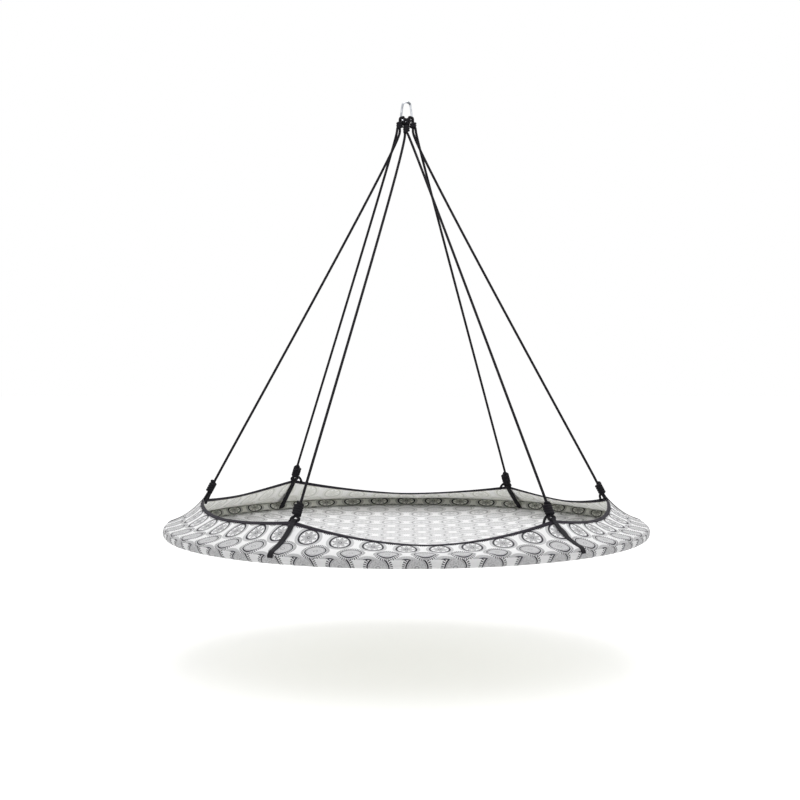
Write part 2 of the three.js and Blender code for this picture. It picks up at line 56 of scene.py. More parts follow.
# Rope: as thick as in the CAD where it is laid, and as thick as it is drawn
rope = 8 * mm
rope_braid = 9.6 * mm
rope_sides = 14
rope_step = 2.2 * mm
straight_span = 40 * mm
straight_step = 12 * mm
tightest_bend = 0.6 * rope
easing_passes = 30
tip_length = 5 * mm
tip_swell = 0.16

# Hitches: how far each turn goes past the wire, and the whipping under it
hitch_wrap = 0.5 * mm
hitch_past = 115
side_hitch = 72
middle_spread = 60
whip_pitch = 8.3 * mm
whip_radius = 8.6 * mm
side_centre = 25.5 * mm
side_foot = -94 * mm
middle_foot = -108 * mm
flex_drop = 118 * mm

# Ring of steel tube
ring_drop = 1620 * mm
ring_radius = 896 * mm
tube_radius = 16 * mm

# Fabric: the sizes round the tube are to the middle of the cloth
cloth = 1.2 * mm
sleeve_round = 20.3 * mm
wall_round = 21.5 * mm
seam_angle = 205
wall_end_angle = 212
floor_edge_angle = 208
sleeve_end_angle = 58
floor_sag = 52 * mm
corner_radius = 777 * mm
edge_bow = 24 * mm
binding_height = 13 * mm
binding_thickness = 0.9 * mm
binding_lip = 0.2 * mm
cad_cloth = 1.6 * mm
cad_wall_round = 21.53 * mm

# How hollow the wall is: by how much it leaves the tube flatter than a straight
# one where it stands high, how far up it bends, and its dent between corners
wall_lean = 16
wall_bend = 0.5
high_wall = 100 * mm
wall_hollow = 5.75 * mm

# Corners, counter-clockwise from the right, as in the CAD: the place of each on
# the ring, its height over the ring, the dip of the edge after it, where its
# rope leg starts in X, how far its knot stands over the strap's eye, and the
# side to which the knot's tail goes
corner_keys = ["name", "angle", "height", "dip", "leg", "rise", "tail"]
corner_sizes = [
    ("right", 6, 104 * mm, 37 * mm, 27 * mm, 14 * mm, 1),
    ("back_right", 56, 95 * mm, 54 * mm, 38 * mm, 14 * mm, 1),
    ("back_left", 128, 125 * mm, 25 * mm, -38 * mm, 16 * mm, -1),
    ("left", 178, 105 * mm, 25 * mm, -27 * mm, 26 * mm, 1),
    ("front_left", 241, 104 * mm, 66 * mm, -5.5 * mm, 17 * mm, -1),
    ("front_right", 310, 98 * mm, 33 * mm, 5.5 * mm, 14 * mm, -1),
]
corners = [dict(zip(corner_keys, sizes)) for sizes in corner_sizes]
corner_named = {corner["name"]: corner for corner in corners}
dip_power = 1.7

# Webbing strap
strap_width = 22 * mm
strap_thickness = 1.6 * mm
eye_room = 0.5 * mm
eye_pinch = 0.12
eye_pinch_reach = 40 * mm
slit_below = 332
slit_above = 378
bar_tacks = (24 * mm, 32 * mm)

# Rope knot: the strands' places, and how the rope turns over at the knot's top,
# as places across it, off it and over that top
knot_turns = 4.5
knot_pitch = 8.7 * mm
knot_core = 4.4 * mm
knot_wrap = 8.85 * mm
knot_turnover = [
    (0, 0, -6 * mm), (0.6 * mm, 0.8 * mm, 0), (1 * mm, 5.4 * mm, 3.4 * mm),
    (-1 * mm, 9.3 * mm, -0.5 * mm)]
first_turn = 105
first_turn_drop = 0.8 * mm
eye_bend = 5 * mm
eye_bend_angles = (35, 0, -30, -60, -90)
tail_length = 32 * mm
tail_drop = 8 * mm
tail_off = 4 * mm
tail_leave = 6 * mm
tail_set_back = 0.2
tail_steps = 4
turn_steps = 12

# Print: medallions on two staggered grids, sizes across one cell
print_width = 125 * mm
print_height = 160 * mm
print_columns = 46
wall_print_start = 30 * mm
sleeve_print_start = 33 * mm
sleeve_squeeze = 2.4
seam_print_shift = (0.23, 0.56)

# Light through the cloth
cloth_through = 0.9
cloth_reach = 5 * mm

# Camera, fitted to the hoop and the six corners in the photo
camera_distance = 5.5
camera_rise = 0.683
camera_lens = 64.8
sensor_width = 36
image_size = 800
axis_pixel = 406.4
horizon_pixel = 348.6

# Studio
floor_drop = 2.13
floor_reach = 30
floor_glow = 0.287
floor_white = 0.95
sky_level = 0.76
lamp_power = 60
lamp_size = 3.4
lamp_places = {"key": (0.1, -2.7, 2.6), "top": (0.1, 0.9, 2.6)}
lamp_aim = (0, 0, -1.5)


def make_camera():
    data = bpy.data.cameras.new("camera")
    data.lens = camera_lens
    data.sensor_width = sensor_width
    data.shift_x = (image_size / 2 - axis_pixel) / image_size
    data.shift_y = (horizon_pixel - image_size / 2) / image_size
    camera = bpy.data.objects.new("camera", data)
    camera.location = (0, -camera_distance, camera_rise - ring_drop)
    camera.rotation_euler = (math.pi / 2, 0, 0)
    bpy.context.scene.collection.objects.link(camera)
    bpy.context.scene.camera = camera


make_camera()


# Places on the pod
def around(angle, radius, height):
    turn = math.radians(angle)
    return Vector((radius * math.cos(turn), radius * math.sin(turn), height - ring_drop))


def on_tube(size, angle):
    """A place on a circle round the tube's middle, as a radius and a height over the ring."""
    turn = math.radians(angle)
    return Vector((ring_radius + size * math.cos(turn), size * math.sin(turn)))


def bay_at(angle):
    """The corners on both sides of a place on the ring, and how far between them, from -1 to 1."""
    turn = angle % 360
    if turn < corners[0]["angle"]:
        turn += 360
    last = max(i for i, corner in enumerate(corners) if corner["angle"] <= turn + 1e-6)
    corner = corners[last]
    after = corners[(last + 1) % len(corners)]
    start = corner["angle"]
    end = after["angle"] + (360 if after["angle"] < start else 0)
    return corner, after, 2 * (turn - start) / (end - start) - 1


def edge_at(angle):
    """The wall's top edge: radius, and height over the ring."""
    corner, after, through = bay_at(angle)
    mean = corner["height"] + (after["height"] - corner["height"]) * (through + 1) / 2
    dip = corner["dip"] * (1 - abs(through) ** dip_power)
    return Vector((corner_radius - edge_bow * (1 - through ** 2), mean - dip))


def touch_angle(size, edge):
    """Where a line from the edge touches the outer top of a circle round the tube."""
    across = edge.x - ring_radius
    away = math.hypot(across, edge.y)
    return math.degrees(math.atan2(edge.y, across) - math.acos(size / away))


def wall_run(edge):
    """Where the hollow wall leaves the tube, as an angle and as a place, and where it bends to."""
    touch = touch_angle(wall_round, edge) + wall_lean * min(1, edge.y / high_wall) ** 3
    foot = on_tube(wall_round, touch)
    leave = Vector((-math.sin(math.radians(touch)), math.cos(math.radians(touch))))
    return touch, foot, foot + leave * (edge - foot).length * wall_bend


def bend_between(start, bend, end, share):
    """A place on the curve from start to end that is drawn towards bend."""
    return start.lerp(bend, share).lerp(bend.lerp(end, share), share)


def seat_of(corner):
    """The middle of the rope in the strap's eye, in line with the CAD's straight wall."""
    edge = edge_at(corner["angle"])
    foot = on_tube(cad_wall_round, touch_angle(cad_wall_round, edge))
    up = (edge - foot).normalized()
    return edge + up * (2 * gap + binding_thickness + rope / 2)


# Rope routes: the legs as in the CAD, the hitches fuller
wire_radius = hook_wire / 2
top_arc = hook_top_width / 2 - wire_radius
bottom_arc = hook_width / 2 - wire_radius
top_centre = wire_radius - top_arc
bottom_centre = 2 * wire_radius - hook_height + hook_width / 2
side_lean = math.asin((bottom_arc - top_arc) / (top_centre - bottom_centre))
turn_radius = wire_radius + rope / 2 + hitch_wrap


def wire_at(angle):
    """A place on the hook's wire, 0 at the bottom and positive up the right side, and the way in."""
    mirror = -1 if angle < 0 else 1
    turn = min(abs(math.radians(angle)), math.pi / 2 + side_lean)
    across = mirror * bottom_arc * math.sin(turn)
    point = Vector((across, 0, bottom_centre - bottom_arc * math.cos(turn)))
    return point, Vector((-mirror * math.sin(turn), 0, math.cos(turn)))


def bezier(points, steps):
    a, b, c, d = points
    path = []
    for k in range(1, steps + 1):
        t = k / steps
        path.append(a * (1 - t) ** 3 + b * 3 * t * (1 - t) ** 2 + c * 3 * t * t * (1 - t) + d * t ** 3)
    return path


def hitch(middle_angle, spread, whole_turns, centre, foot, whipping):
    """From under the wire round it, and down again. The strand that comes in is whipped round the
    other one below the wire, so that each hitch is one thick lump."""
    front = Vector((0, -1, 0))
    start_turn = -hitch_past
    end_turn = hitch_past + 360 * whole_turns
    steps = round((end_turn - start_turn) / 360 * turn_steps)
    turns = []
    for k in range(steps + 1):
        turn = start_turn + (end_turn - start_turn) * k / steps
        share = turn / (360 * max(whole_turns, 1)) - 0.5 * (whole_turns > 0)
        point, inward = wire_at(middle_angle + spread * share)
        wound = math.radians(turn)
        turns.append(point + inward * turn_radius * math.cos(wound)
                     + front * turn_radius * math.sin(wound))

    meet = turns[0] - Vector((centre, 0, 0))
    top_angle = math.degrees(math.atan2(meet.y, meet.x)) + 360 * whipping
    low_angle = 0 if centre > 0 else 180
    whip_steps = round((top_angle - low_angle) / 360 * turn_steps)
    whip = []
    for k in range(whip_steps + 1):
        angle = low_angle + (top_angle - low_angle) * k / whip_steps
        wound = math.radians(angle)
        across = centre + whip_radius * math.cos(wound)
        rise = foot + (angle - low_angle) / 360 * whip_pitch
        whip.append(Vector((across, whip_radius * math.sin(wound), rise)))
    core = [Vector((centre, 0, whip[-1].z)), Vector((centre, 0, foot))]
    return whip + turns + core


def rope_leg(corner):
    """From the hinge down to the knot, through the strap's eye, round both strands and to the
    tail's tip."""
    seat_radius, seat_height = seat_of(corner)
    seat = around(corner["angle"], seat_radius, seat_height)
    top = Vector((corner["leg"], 0, -flex_drop))
    up = (top - seat).normalized()
    turn = math.radians(corner["angle"])
    along = Vector((-math.sin(turn), math.cos(turn), 0)) * corner["tail"]
    side = (along - up * along.dot(up)).normalized()
    out = side.cross(up) * corner["tail"]
    knot_foot = corner["rise"]
    knot_top = knot_foot + knot_turns * knot_pitch + rope

    def at(across, off, rise):
        return seat + side * across + out * off + up * rise

    def eye_point(way, angle):
        bend = math.radians(angle)
        return seat + along * way * (strap_width / 2 + gap + eye_bend * math.cos(bend)) \
            + up * eye_bend * (1 + math.sin(bend))

    points = [top, at(-knot_core, 0, knot_top + 2 * rope), at(-knot_core, 0, knot_foot)]
    points += [eye_point(-1, angle) for angle in eye_bend_angles]
    points += [eye_point(1, angle) for angle in reversed(eye_bend_angles)]
    points.append(at(knot_core, 0, knot_foot))
    points += [at(knot_core + across, off, knot_top + rise) for across, off, rise in knot_turnover]
    for k in range(round(knot_turns * turn_steps) + 1):
        wound = math.radians(first_turn + 360 * k / turn_steps)
        strand = math.copysign(knot_core, math.cos(wound))
        rise = knot_top - rope / 2 - first_turn_drop - k * knot_pitch / turn_steps
        points.append(at(strand + knot_wrap * math.cos(wound), knot_wrap * math.sin(wound), rise))
    last, before = points[-1], points[-2]
    leave = last + (last - before).normalized() * tail_leave
    tip = at(tail_length, -knot_wrap - tail_off, -tail_drop)
    down = tip - side * tail_set_back * tail_length + up * (tail_drop + tail_leave)
    return points + bezier((last, leave, down, tip), tail_steps)


def smooth_path(points, step):
    """A curve through the points, with its own points about a step apart."""
    path = []
    for i in range(len(points) - 1):
        before = points[i - 1] if i else points[0] * 2 - points[1]
        here, there = points[i], points[i + 1]
        beyond = points[i + 2] if i + 2 < len(points) else there * 2 - here
        stretches = ((before, here), (here, there), (there, beyond))
        spans = [max((b - a).length, 1e-6) ** 0.5 for a, b in stretches]
        start_way = ((here - before) / spans[0] - (there - before) / (spans[0] + spans[1])
                     + (there - here) / spans[1]) * spans[1]
        end_way = ((there - here) / spans[1] - (beyond - here) / (spans[1] + spans[2])
                   + (beyond - there) / spans[2]) * spans[1]
        long = (there - here).length
        count = max(1, math.ceil(long / (step if long < straight_span else straight_step)))
        for k in range(count):
            t = k / count
            path.append(
                here * (2 * t ** 3 - 3 * t ** 2 + 1) + start_way * (t ** 3 - 2 * t ** 2 + t)
                + there * (3 * t ** 2 - 2 * t ** 3) + end_way * (t ** 3 - t ** 2))
    return path + [points[-1]]


def ease_bends(path, tightest):
    """Rounds off the places that bend tighter than the rope can."""
    for _ in range(easing_passes):
        eased = list(path)
        for i in range(1, len(path) - 1):
            first, second = path[i] - path[i - 1], path[i + 1] - path[i]
            if first.angle(second) > (first.length + second.length) / 2 / tightest:
                eased[i] = path[i] * 0.5 + (path[i - 1] + path[i + 1]) * 0.25
        path = eased
    return path


# Meshes
def make_object(name, vertices, faces, uvs=None, slots=None):
    """uvs and slots give each face its corners' places on the cloth and its material's number."""
    mesh = bpy.data.meshes.new(name)
    mesh.from_pydata([tuple(v) for v in vertices], [], faces)
    if uvs:
        layer = mesh.uv_layers.new(name="cloth")
        layer.data.foreach_set("uv", [value for face in uvs for corner in face for value in corner])
    if slots:
        mesh.polygons.foreach_set("material_index", slots)
    mesh.polygons.foreach_set("use_smooth", [True] * len(faces))
    obj = bpy.data.objects.new(name, mesh)
    bpy.context.scene.collection.objects.link(obj)
    return obj


dome_angles = (25, 50, 75)


def tube_parts(path, radius, sides, size_at):
    """Vertices, faces and uvs of a round tube with domed ends, turned as little as possible."""
    vertices, faces, uvs = [], [], []
    ways = []
    for i in range(len(path)):
        ways.append((path[min(i + 1, len(path) - 1)] - path[max(i - 1, 0)]).normalized())
    start = Vector((0, 1, 0)) if abs(ways[0].y) < 0.9 else Vector((1, 0, 0))
    side = (start - ways[0] * start.dot(ways[0])).normalized()
    dome = [(math.cos(math.radians(d)), math.sin(math.radians(d))) for d in dome_angles]
    along = 0
    rings = []
    for i, point in enumerate(path):
        side = (side - ways[i] * side.dot(ways[i])).normalized()
        over = ways[i].cross(side)
        if i:
            along += (point - path[i - 1]).length
        size = radius * size_at(along)
        slices = [(1, 0)]
        if i == 0:
            slices = [(shrink, -shift) for shrink, shift in reversed(dome)] + slices
        if i == len(path) - 1:
            slices = slices + dome
        for shrink, shift in slices:
            centre = point + ways[i] * shift * size
            rings.append((centre, side, over, size * shrink, along + shift * size))
    for centre, side, over, size, _ in rings:
        for k in range(sides):
            turn = 2 * math.pi * k / sides
            vertices.append(centre + side * size * math.cos(turn) + over * size * math.sin(turn))
    for i in range(len(rings) - 1):
        low, high = i * sides, (i + 1) * sides
        near, far = rings[i][4], rings[i + 1][4]
        for k in range(sides):
            after = (k + 1) % sides
            faces.append((low + k, low + after, high + after, high + k))
            u, v = k / sides, (k + 1) / sides
            uvs.append(((u, near), (v, near), (v, far), (u, far)))
    for ring, flip in ((0, True), (len(rings) - 1, False)):
        cap = [ring * sides + k for k in range(sides)]
        faces.append(tuple(reversed(cap) if flip else cap))
        uvs.append(((0, rings[ring][4]),) * sides)
    return vertices, faces, uvs


def swept_loop(name, sections, u_of, v_of, slot_of=None, shift_of=None):
    """A closed body from equal sections set in a row, with the last joined to the first.
    u_of and v_of give a place on the cloth from the number of a section and of a point, and
    shift_of moves the place for a row of faces, where another cut of cloth starts."""
    count = len(sections[0])
    vertices = [point for section in sections for point in section]
    faces, uvs, slots = [], [], []
    for i in range(len(sections)):
        here, there = i * count, (i + 1) % len(sections) * count
        for j in range(count):
            side = (j + 1) % count
            faces.append((here + j, there + j, there + side, here + side))
            u_shift, v_shift = shift_of(j) if shift_of else (0, 0)
            near, far = u_of(i) + u_shift, u_of(i + 1) + u_shift
            low, high = v_of(j) + v_shift, v_of(j + 1) + v_shift
            uvs.append(((near, low), (far, low), (far, high), (near, high)))
            slots.append(slot_of(j) if slot_of else 0)
    return make_object(name, vertices, faces, uvs, slots)


# Materials: the numbers of a mix node's colour sockets
first_colour, second_colour = 6, 7
mixed_colour = 2


class Graph:
    """A material whose colour, roughness and bump come from its nodes."""

    def __init__(self, name, roughness, metallic=0.0, sheen=0.0, specular=0.5):
        self.material = bpy.data.materials.new(name)
        self.material.use_nodes = True
        self.tree = self.material.node_tree
        self.shader = self.tree.nodes["Principled BSDF"]
        self.shader.inputs["Roughness"].default_value = roughness
        self.shader.inputs["Metallic"].default_value = metallic
        self.shader.inputs["Sheen Weight"].default_value = sheen
        self.shader.inputs["Specular IOR Level"].default_value = specular

    def node(self, kind, **settings):
        made = self.tree.nodes.new(kind)
        for key, value in settings.items():
            setattr(made, key, value)
        return made

    def plug(self, socket, value):
        if isinstance(value, (int, float)):
            socket.default_value = value
        elif isinstance(value, tuple):
            socket.default_value = (*value, 1.0)[:len(socket.default_value)]
        else:
            self.tree.links.new(value, socket)

    def maths(self, operation, first, second=0.0, clamp=False):
        made = self.node("ShaderNodeMath", operation=operation, use_clamp=clamp)
        self.plug(made.inputs[0], first)
        self.plug(made.inputs[1], second)
        return made.outputs[0]

    def mix(self, share, first, second):
        made = self.node("ShaderNodeMix", data_type="RGBA")
        self.plug(made.inputs["Factor"], share)
        self.plug(made.inputs[first_colour], first)
        self.plug(made.inputs[second_colour], second)
        return made.outputs[mixed_colour]

    def noise(self, scale, detail=2.0):
        made = self.node("ShaderNodeTexNoise")
        made.inputs["Scale"].default_value = scale
        made.inputs["Detail"].default_value = detail
        place = self.node("ShaderNodeTexCoord").outputs["Object"]
        self.tree.links.new(place, made.inputs["Vector"])
        return made.outputs["Fac"]

    def uv(self):
        """The place on the cloth, as two numbers."""
        place = self.node("ShaderNodeUVMap", uv_map="cloth").outputs["UV"]
        parts = self.node("ShaderNodeSeparateXYZ")
        self.tree.links.new(place, parts.inputs[0])
        return parts.outputs[0], parts.outputs[1]

    def line(self, value, middle, half, soft):
        """1 where value is within half of middle, fading over soft."""
        away = self.maths("ABSOLUTE", self.maths("SUBTRACT", value, middle))
        inside = self.maths("SUBTRACT", half + soft, away)
        return self.maths("MULTIPLY", inside, 1 / soft, clamp=True)

    def bump(self, height, distance, strength=1.0):
        made = self.node("ShaderNodeBump")
        made.inputs["Strength"].default_value = strength
        made.inputs["Distance"].default_value = distance
        self.tree.links.new(height, made.inputs["Height"])
        self.tree.links.new(made.outputs["Normal"], self.shader.inputs["Normal"])

    def finish(self, colour):
        self.plug(self.shader.inputs["Base Color"], colour)
        return self.material


def waves(graph, value, turns):
    """A sine from 0 to 1 with so many turns to one unit of value."""
    wave = graph.maths("SINE", graph.maths("MULTIPLY", value, 2 * math.pi * turns))
    return graph.maths("MULTIPLY", graph.maths("ADD", wave, 1.0), 0.5)


def rope_material():
    """Braid of strands that climb both ways, from their place round and along the rope."""
    strands = 8
    lay = 11 * mm
    fuzz = 0.4
    # painted shade and light: the braid's grooves are coloured darker and its ridges lighter
    painted_groove_shade, painted_ridge_light = (0.0055, 0.005, 0.0065), (0.0115, 0.0105, 0.0135)
    graph = Graph("black_braid", 0.8, sheen=0.02, specular=0.18)
    round_it, along = graph.uv()
    turn = graph.maths("MULTIPLY", round_it, strands)
    climb = graph.maths("DIVIDE", along, lay / 2)
    left = waves(graph, graph.maths("ADD", turn, climb), 1)
    right = waves(graph, graph.maths("SUBTRACT", turn, climb), 1)
    braid = graph.maths("MAXIMUM", left, right)
    rough = graph.maths("MULTIPLY", graph.noise(900), fuzz)
    graph.bump(graph.maths("ADD", braid, rough), 0.4 * mm, 0.8)
    return graph.finish(graph.mix(braid, painted_groove_shade, painted_ridge_light))


# Stitches: their pitch, the level of its wave over which thread shows, half their width
# and how softly it ends
stitch_pitch = 4 * mm
stitch_level = 0.3
stitch_half = 0.35 * mm
stitch_soft = 0.2 * mm


def stitch_rows(graph, along, across, off_middle):
    """Two rows of stitches, one on each side of the middle."""
    row = graph.line(graph.maths("ABSOLUTE", across), off_middle, stitch_half, stitch_soft)
    stitched = graph.maths("GREATER_THAN", waves(graph, along, 1 / stitch_pitch), stitch_level)
    return graph.maths("MULTIPLY", row, stitched)


def webbing_material():
    """Ribbed webbing with a row of stitches near each side, and bar tacks below the eye."""
    rib_pitch = 2.2 * mm
    weft_pitch = 1.5 * mm
    zigzag_pitch = 1.2 * mm
    zigzag_level = 0.35
    tack_half = 1.3 * mm
    tack_soft = 0.3 * mm
    stitch_place = 8.4 * mm
    # painted shade and light: the weave's grooves are coloured darker and its ridges lighter
    painted_groove_shade, painted_ridge_light, thread = (0.006, 0.0055, 0.0075), (0.015, 0.0135, 0.018), (0.03, 0.028, 0.034)
    graph = Graph("black_webbing", 0.75, sheen=0.03, specular=0.2)
    along, across = graph.uv()
    rib = waves(graph, along, 1 / rib_pitch)
    weft = waves(graph, across, 1 / weft_pitch)
    weave = graph.maths("MULTIPLY", rib, weft)
    stitch = stitch_rows(graph, along, across, stitch_place)
    zigzag = graph.maths("GREATER_THAN", waves(graph, across, 1 / zigzag_pitch), zigzag_level)
    for bar in bar_tacks:
        tack = graph.maths("MULTIPLY", graph.line(along, bar, tack_half, tack_soft), zigzag)
        stitch = graph.maths("MAXIMUM", stitch, tack)
    graph.bump(graph.maths("ADD", weave, stitch), 0.35 * mm, 0.8)
    return graph.finish(graph.mix(stitch, graph.mix(weave, painted_groove_shade, painted_ridge_light), thread))


def binding_material():
    """Twill tape with a row of stitches near each edge."""
    twill_pitch = 1.4 * mm
    stitch_place = 9.6 * mm
    # painted shade and light: the twill's grooves are coloured darker and its ridges lighter
    painted_groove_shade, painted_ridge_light, thread = (0.012, 0.010, 0.015), (0.026, 0.022, 0.032), (0.07, 0.065, 0.08)
    graph = Graph("charcoal_binding", 0.8, sheen=0.04, specular=0.2)
    along, across = graph.uv()
    twill = waves(graph, graph.maths("ADD", along, across), 1 / twill_pitch)
    stitch = stitch_rows(graph, along, across, stitch_place)
    graph.bump(graph.maths("ADD", twill, stitch), 0.25 * mm, 0.7)
    return graph.finish(graph.mix(stitch, graph.mix(twill, painted_groove_shade, painted_ridge_light), thread))


# Medallions: a filled form or a line as radius, half width, softness and darkness, a ring as
# radius, half width and darkness, and a dashed ring with its count and cut before darkness
ring_soft = 0.7 * mm
dash_soft = 0.8 * mm
flower_petals = 8
petal_length = 13 * mm
petal_power = 0.6
petal_fill = (0.0, 15 * mm, 0.8 * mm, 0.5)
petal_line = (15.5 * mm, 0.9 * mm, 0.6 * mm, 0.9)
flower_rings = [(37.5 * mm, 3.3 * mm, 1.12), (5.5 * mm, 1.6 * mm, 0.95), (11.5 * mm, 0.7 * mm, 0.8)]
flower_dashes = [(32 * mm, 1.4 * mm, 24, 0.45, 0.6)]
halo_place = (46 * mm, 5.2 * mm, 1.4 * mm)
halo_teeth = 56
halo_dark = 0.35
tooth_dark = 0.20
disc_points = 10
point_length = 8 * mm
point_power = 2.0
star_line = (15 * mm, 0.7 * mm, 0.7 * mm, 0.8)
disc_rings = [(0.0, 34 * mm, 0.42), (35.5 * mm, 2.2 * mm, 1.1), (7 * mm, 1.2 * mm, 0.85)]
disc_dashes = [(29.5 * mm, 1.5 * mm, 30, 0.4, 0.75), (44 * mm, 4.2 * mm, 40, 0.42, 1.0)]

# Cloth: the pitch of its threads, how strong its creases are beside them, and how far the
# print is worn and what is left of it at least
thread_pitch = 1.3 * mm
crease_depth = 1.6
wear_depth = 0.35
least_ink = 0.82


def polar(graph, u, v, shift):
    """Distance and angle from the middle of the nearest medallion on one grid."""
    offs = []
    for value, size in ((u, print_width), (v, print_height)):
        cell = graph.maths("FRACT", graph.maths("ADD", value, shift))
        offs.append(graph.maths("MULTIPLY", graph.maths("SUBTRACT", cell, 0.5), size))
    x, y = offs
    square = graph.maths("ADD", graph.maths("MULTIPLY", x, x), graph.maths("MULTIPLY", y, y))
    return graph.maths("SQRT", square), graph.maths("ARCTAN2", y, x)


def spokes(graph, turn, count):
    wave = graph.maths("COSINE", graph.maths("MULTIPLY", turn, float(count)))
    return graph.maths("MULTIPLY", graph.maths("ADD", wave, 1.0), 0.5)


def star_edge(graph, away, turn, count, length, power):
    """Distance from the middle, less the length that the petals or points add to it."""
    reach = graph.maths("POWER", spokes(graph, turn, count), power)
    return graph.maths("SUBTRACT", away, graph.maths("MULTIPLY", reach, length))


def form_ink(graph, away, form):
    radius, half, soft, share = form
    return graph.maths("MULTIPLY", graph.line(away, radius, half, soft), share)


def rings_ink(graph, away, turn, rings, dashed_rings):
    """The inks of the plain rings and of those that are cut into dashes."""
    inks = []
    for radius, half, share in rings:
        inks.append(graph.maths("MULTIPLY", graph.line(away, radius, half, ring_soft), share))
    for radius, half, count, cut, share in dashed_rings:
        on = graph.maths("GREATER_THAN", spokes(graph, turn, count), cut)
        dash = graph.maths("MULTIPLY", on, share)
        inks.append(graph.maths("MULTIPLY", graph.line(away, radius, half, dash_soft), dash))
    return inks


def darkest(graph, values):
    total = values[0]
    for value in values[1:]:
        total = graph.maths("MAXIMUM", total, value)
    return total


def flower_ink(graph, away, turn):
    """A petalled flower in a dark ring with a soft toothed band round it."""
    from_petals = star_edge(graph, away, turn, flower_petals, petal_length, petal_power)
    teeth = graph.maths("MULTIPLY", spokes(graph, turn, halo_teeth), tooth_dark)
    toothed = graph.maths("ADD", teeth, halo_dark)
    return darkest(graph, [
        form_ink(graph, from_petals, petal_fill), form_ink(graph, from_petals, petal_line),
        form_ink(graph, away, (*halo_place, toothed)),
        *rings_ink(graph, away, turn, flower_rings, flower_dashes)])


def disc_ink(graph, away, turn):
    """A plain disc with a star in it, a beaded rim and short rays."""
    from_points = star_edge(graph, away, turn, disc_points, point_length, point_power)
    return darkest(graph, [
        form_ink(graph, from_points, star_line),
        *rings_ink(graph, away, turn, disc_rings, disc_dashes)])


def fabric_material(name, ground, ink, strength, roughness=0.85):
    """Thin woven cloth printed with the two medallions, which lets some light through; strength
    is how much of the print shows."""
    graph = Graph(name, roughness, sheen=0.05, specular=0.3)
    graph.shader.inputs["Subsurface Weight"].default_value = cloth_through
    graph.shader.inputs["Subsurface Radius"].default_value = (1.0, 1.0, 1.0)
    graph.shader.inputs["Subsurface Scale"].default_value = cloth_reach
    u, v = graph.uv()
    flowers = flower_ink(graph, *polar(graph, u, v, 0.0))
    discs = disc_ink(graph, *polar(graph, u, v, 0.5))
    wear = graph.maths("MULTIPLY", graph.noise(140, 3), wear_depth)
    wear = graph.maths("ADD", wear, least_ink)
    inked = graph.maths("MULTIPLY", darkest(graph, [flowers, discs]), wear)
    print_here = graph.maths("MULTIPLY", inked, strength, clamp=True)
    warp = waves(graph, u, print_width / thread_pitch)
    weft = waves(graph, v, print_height / thread_pitch)
    creases = graph.maths("MULTIPLY", graph.noise(26, 2), crease_depth)
    graph.bump(graph.maths("ADD", graph.maths("MULTIPLY", warp, weft), creases), 0.5 * mm, 0.5)
    return graph.finish(graph.mix(print_here, ground, ink))


def steel_material():
    """Bright wire with faint clouds, and a painted dark reflection at the shoulders of the hook's top
    bend.
    """
    # the dark colour serves both the random clouds and the painted dark reflection
    dark_side, bright_side, cloud_and_reflection_dark = (0.62, 0.64, 0.68), (0.80, 0.82, 0.86), (0.13, 0.14, 0.155)
    graph = Graph("bright_steel", 0.2, metallic=1.0)
    rub = graph.noise(320, 3)
    graph.bump(rub, 0.05 * mm, 0.35)
    clouds_and_painted_reflection = graph.maths("MULTIPLY", graph.line(graph.noise(34, 1), 0.66, 0.06, 0.09), 0.45)
    place = graph.node("ShaderNodeTexCoord").outputs["Object"]
    # painted dark reflection: the steel's colour goes dark round each of these places on the top bend
    for shoulder, wide in painted_dark_reflections:
        away = graph.node("ShaderNodeVectorMath", operation="DISTANCE")
        graph.tree.links.new(place, away.inputs[0])
        away.inputs[1].default_value = shoulder
        painted_reflection = graph.line(away.outputs["Value"], 0.0, wide, 5 * mm)
        clouds_and_painted_reflection = graph.maths("MAXIMUM", clouds_and_painted_reflection, painted_reflection)
    return graph.finish(graph.mix(clouds_and_painted_reflection, graph.mix(rub, dark_side, bright_side), cloud_and_reflection_dark))


def tube_material():
    graph = Graph("black_powder_coat", 0.48, metallic=0.2)
    grain = graph.noise(1500, 2)
    graph.bump(grain, 0.06 * mm, 0.5)
    return graph.finish(graph.mix(grain, (0.018, 0.018, 0.020), (0.040, 0.040, 0.044)))


cloth_white = (0.84, 0.84, 0.85)
materials = {
    "rope": rope_material(),
    "webbing": webbing_material(),
    "binding": binding_material(),
    "print": fabric_material("printed_cloth", cloth_white, (0.022, 0.020, 0.027), 0.96),
    "floor": fabric_material("printed_floor_cloth", cloth_white, (0.03, 0.028, 0.035), 0.6),
    # painted shade: the sleeve's ground is tinted olive, as the strip looks where the wall shades it;
    # the cloth itself is the same white as the wall's
    "sleeve": fabric_material("printed_sleeve_cloth_painted_shade", (0.88, 0.89, 0.78), (0.022, 0.022, 0.02), 1.0),
    # partly painted light: the reverse's ground is made brighter than the cloth's white, for light
    # that comes through the cloth into the pod; the faint print on it is the print showing through
    "reverse": fabric_material("cloth_reverse_painted_light", (0.98, 0.98, 0.89), (0.42, 0.43, 0.35), 0.5, 0.9),
    "steel": steel_material(),
    "tube": tube_material(),
}


def wear_material(obj, *names):
    for name in names:
        obj.data.materials.append(materials[name])


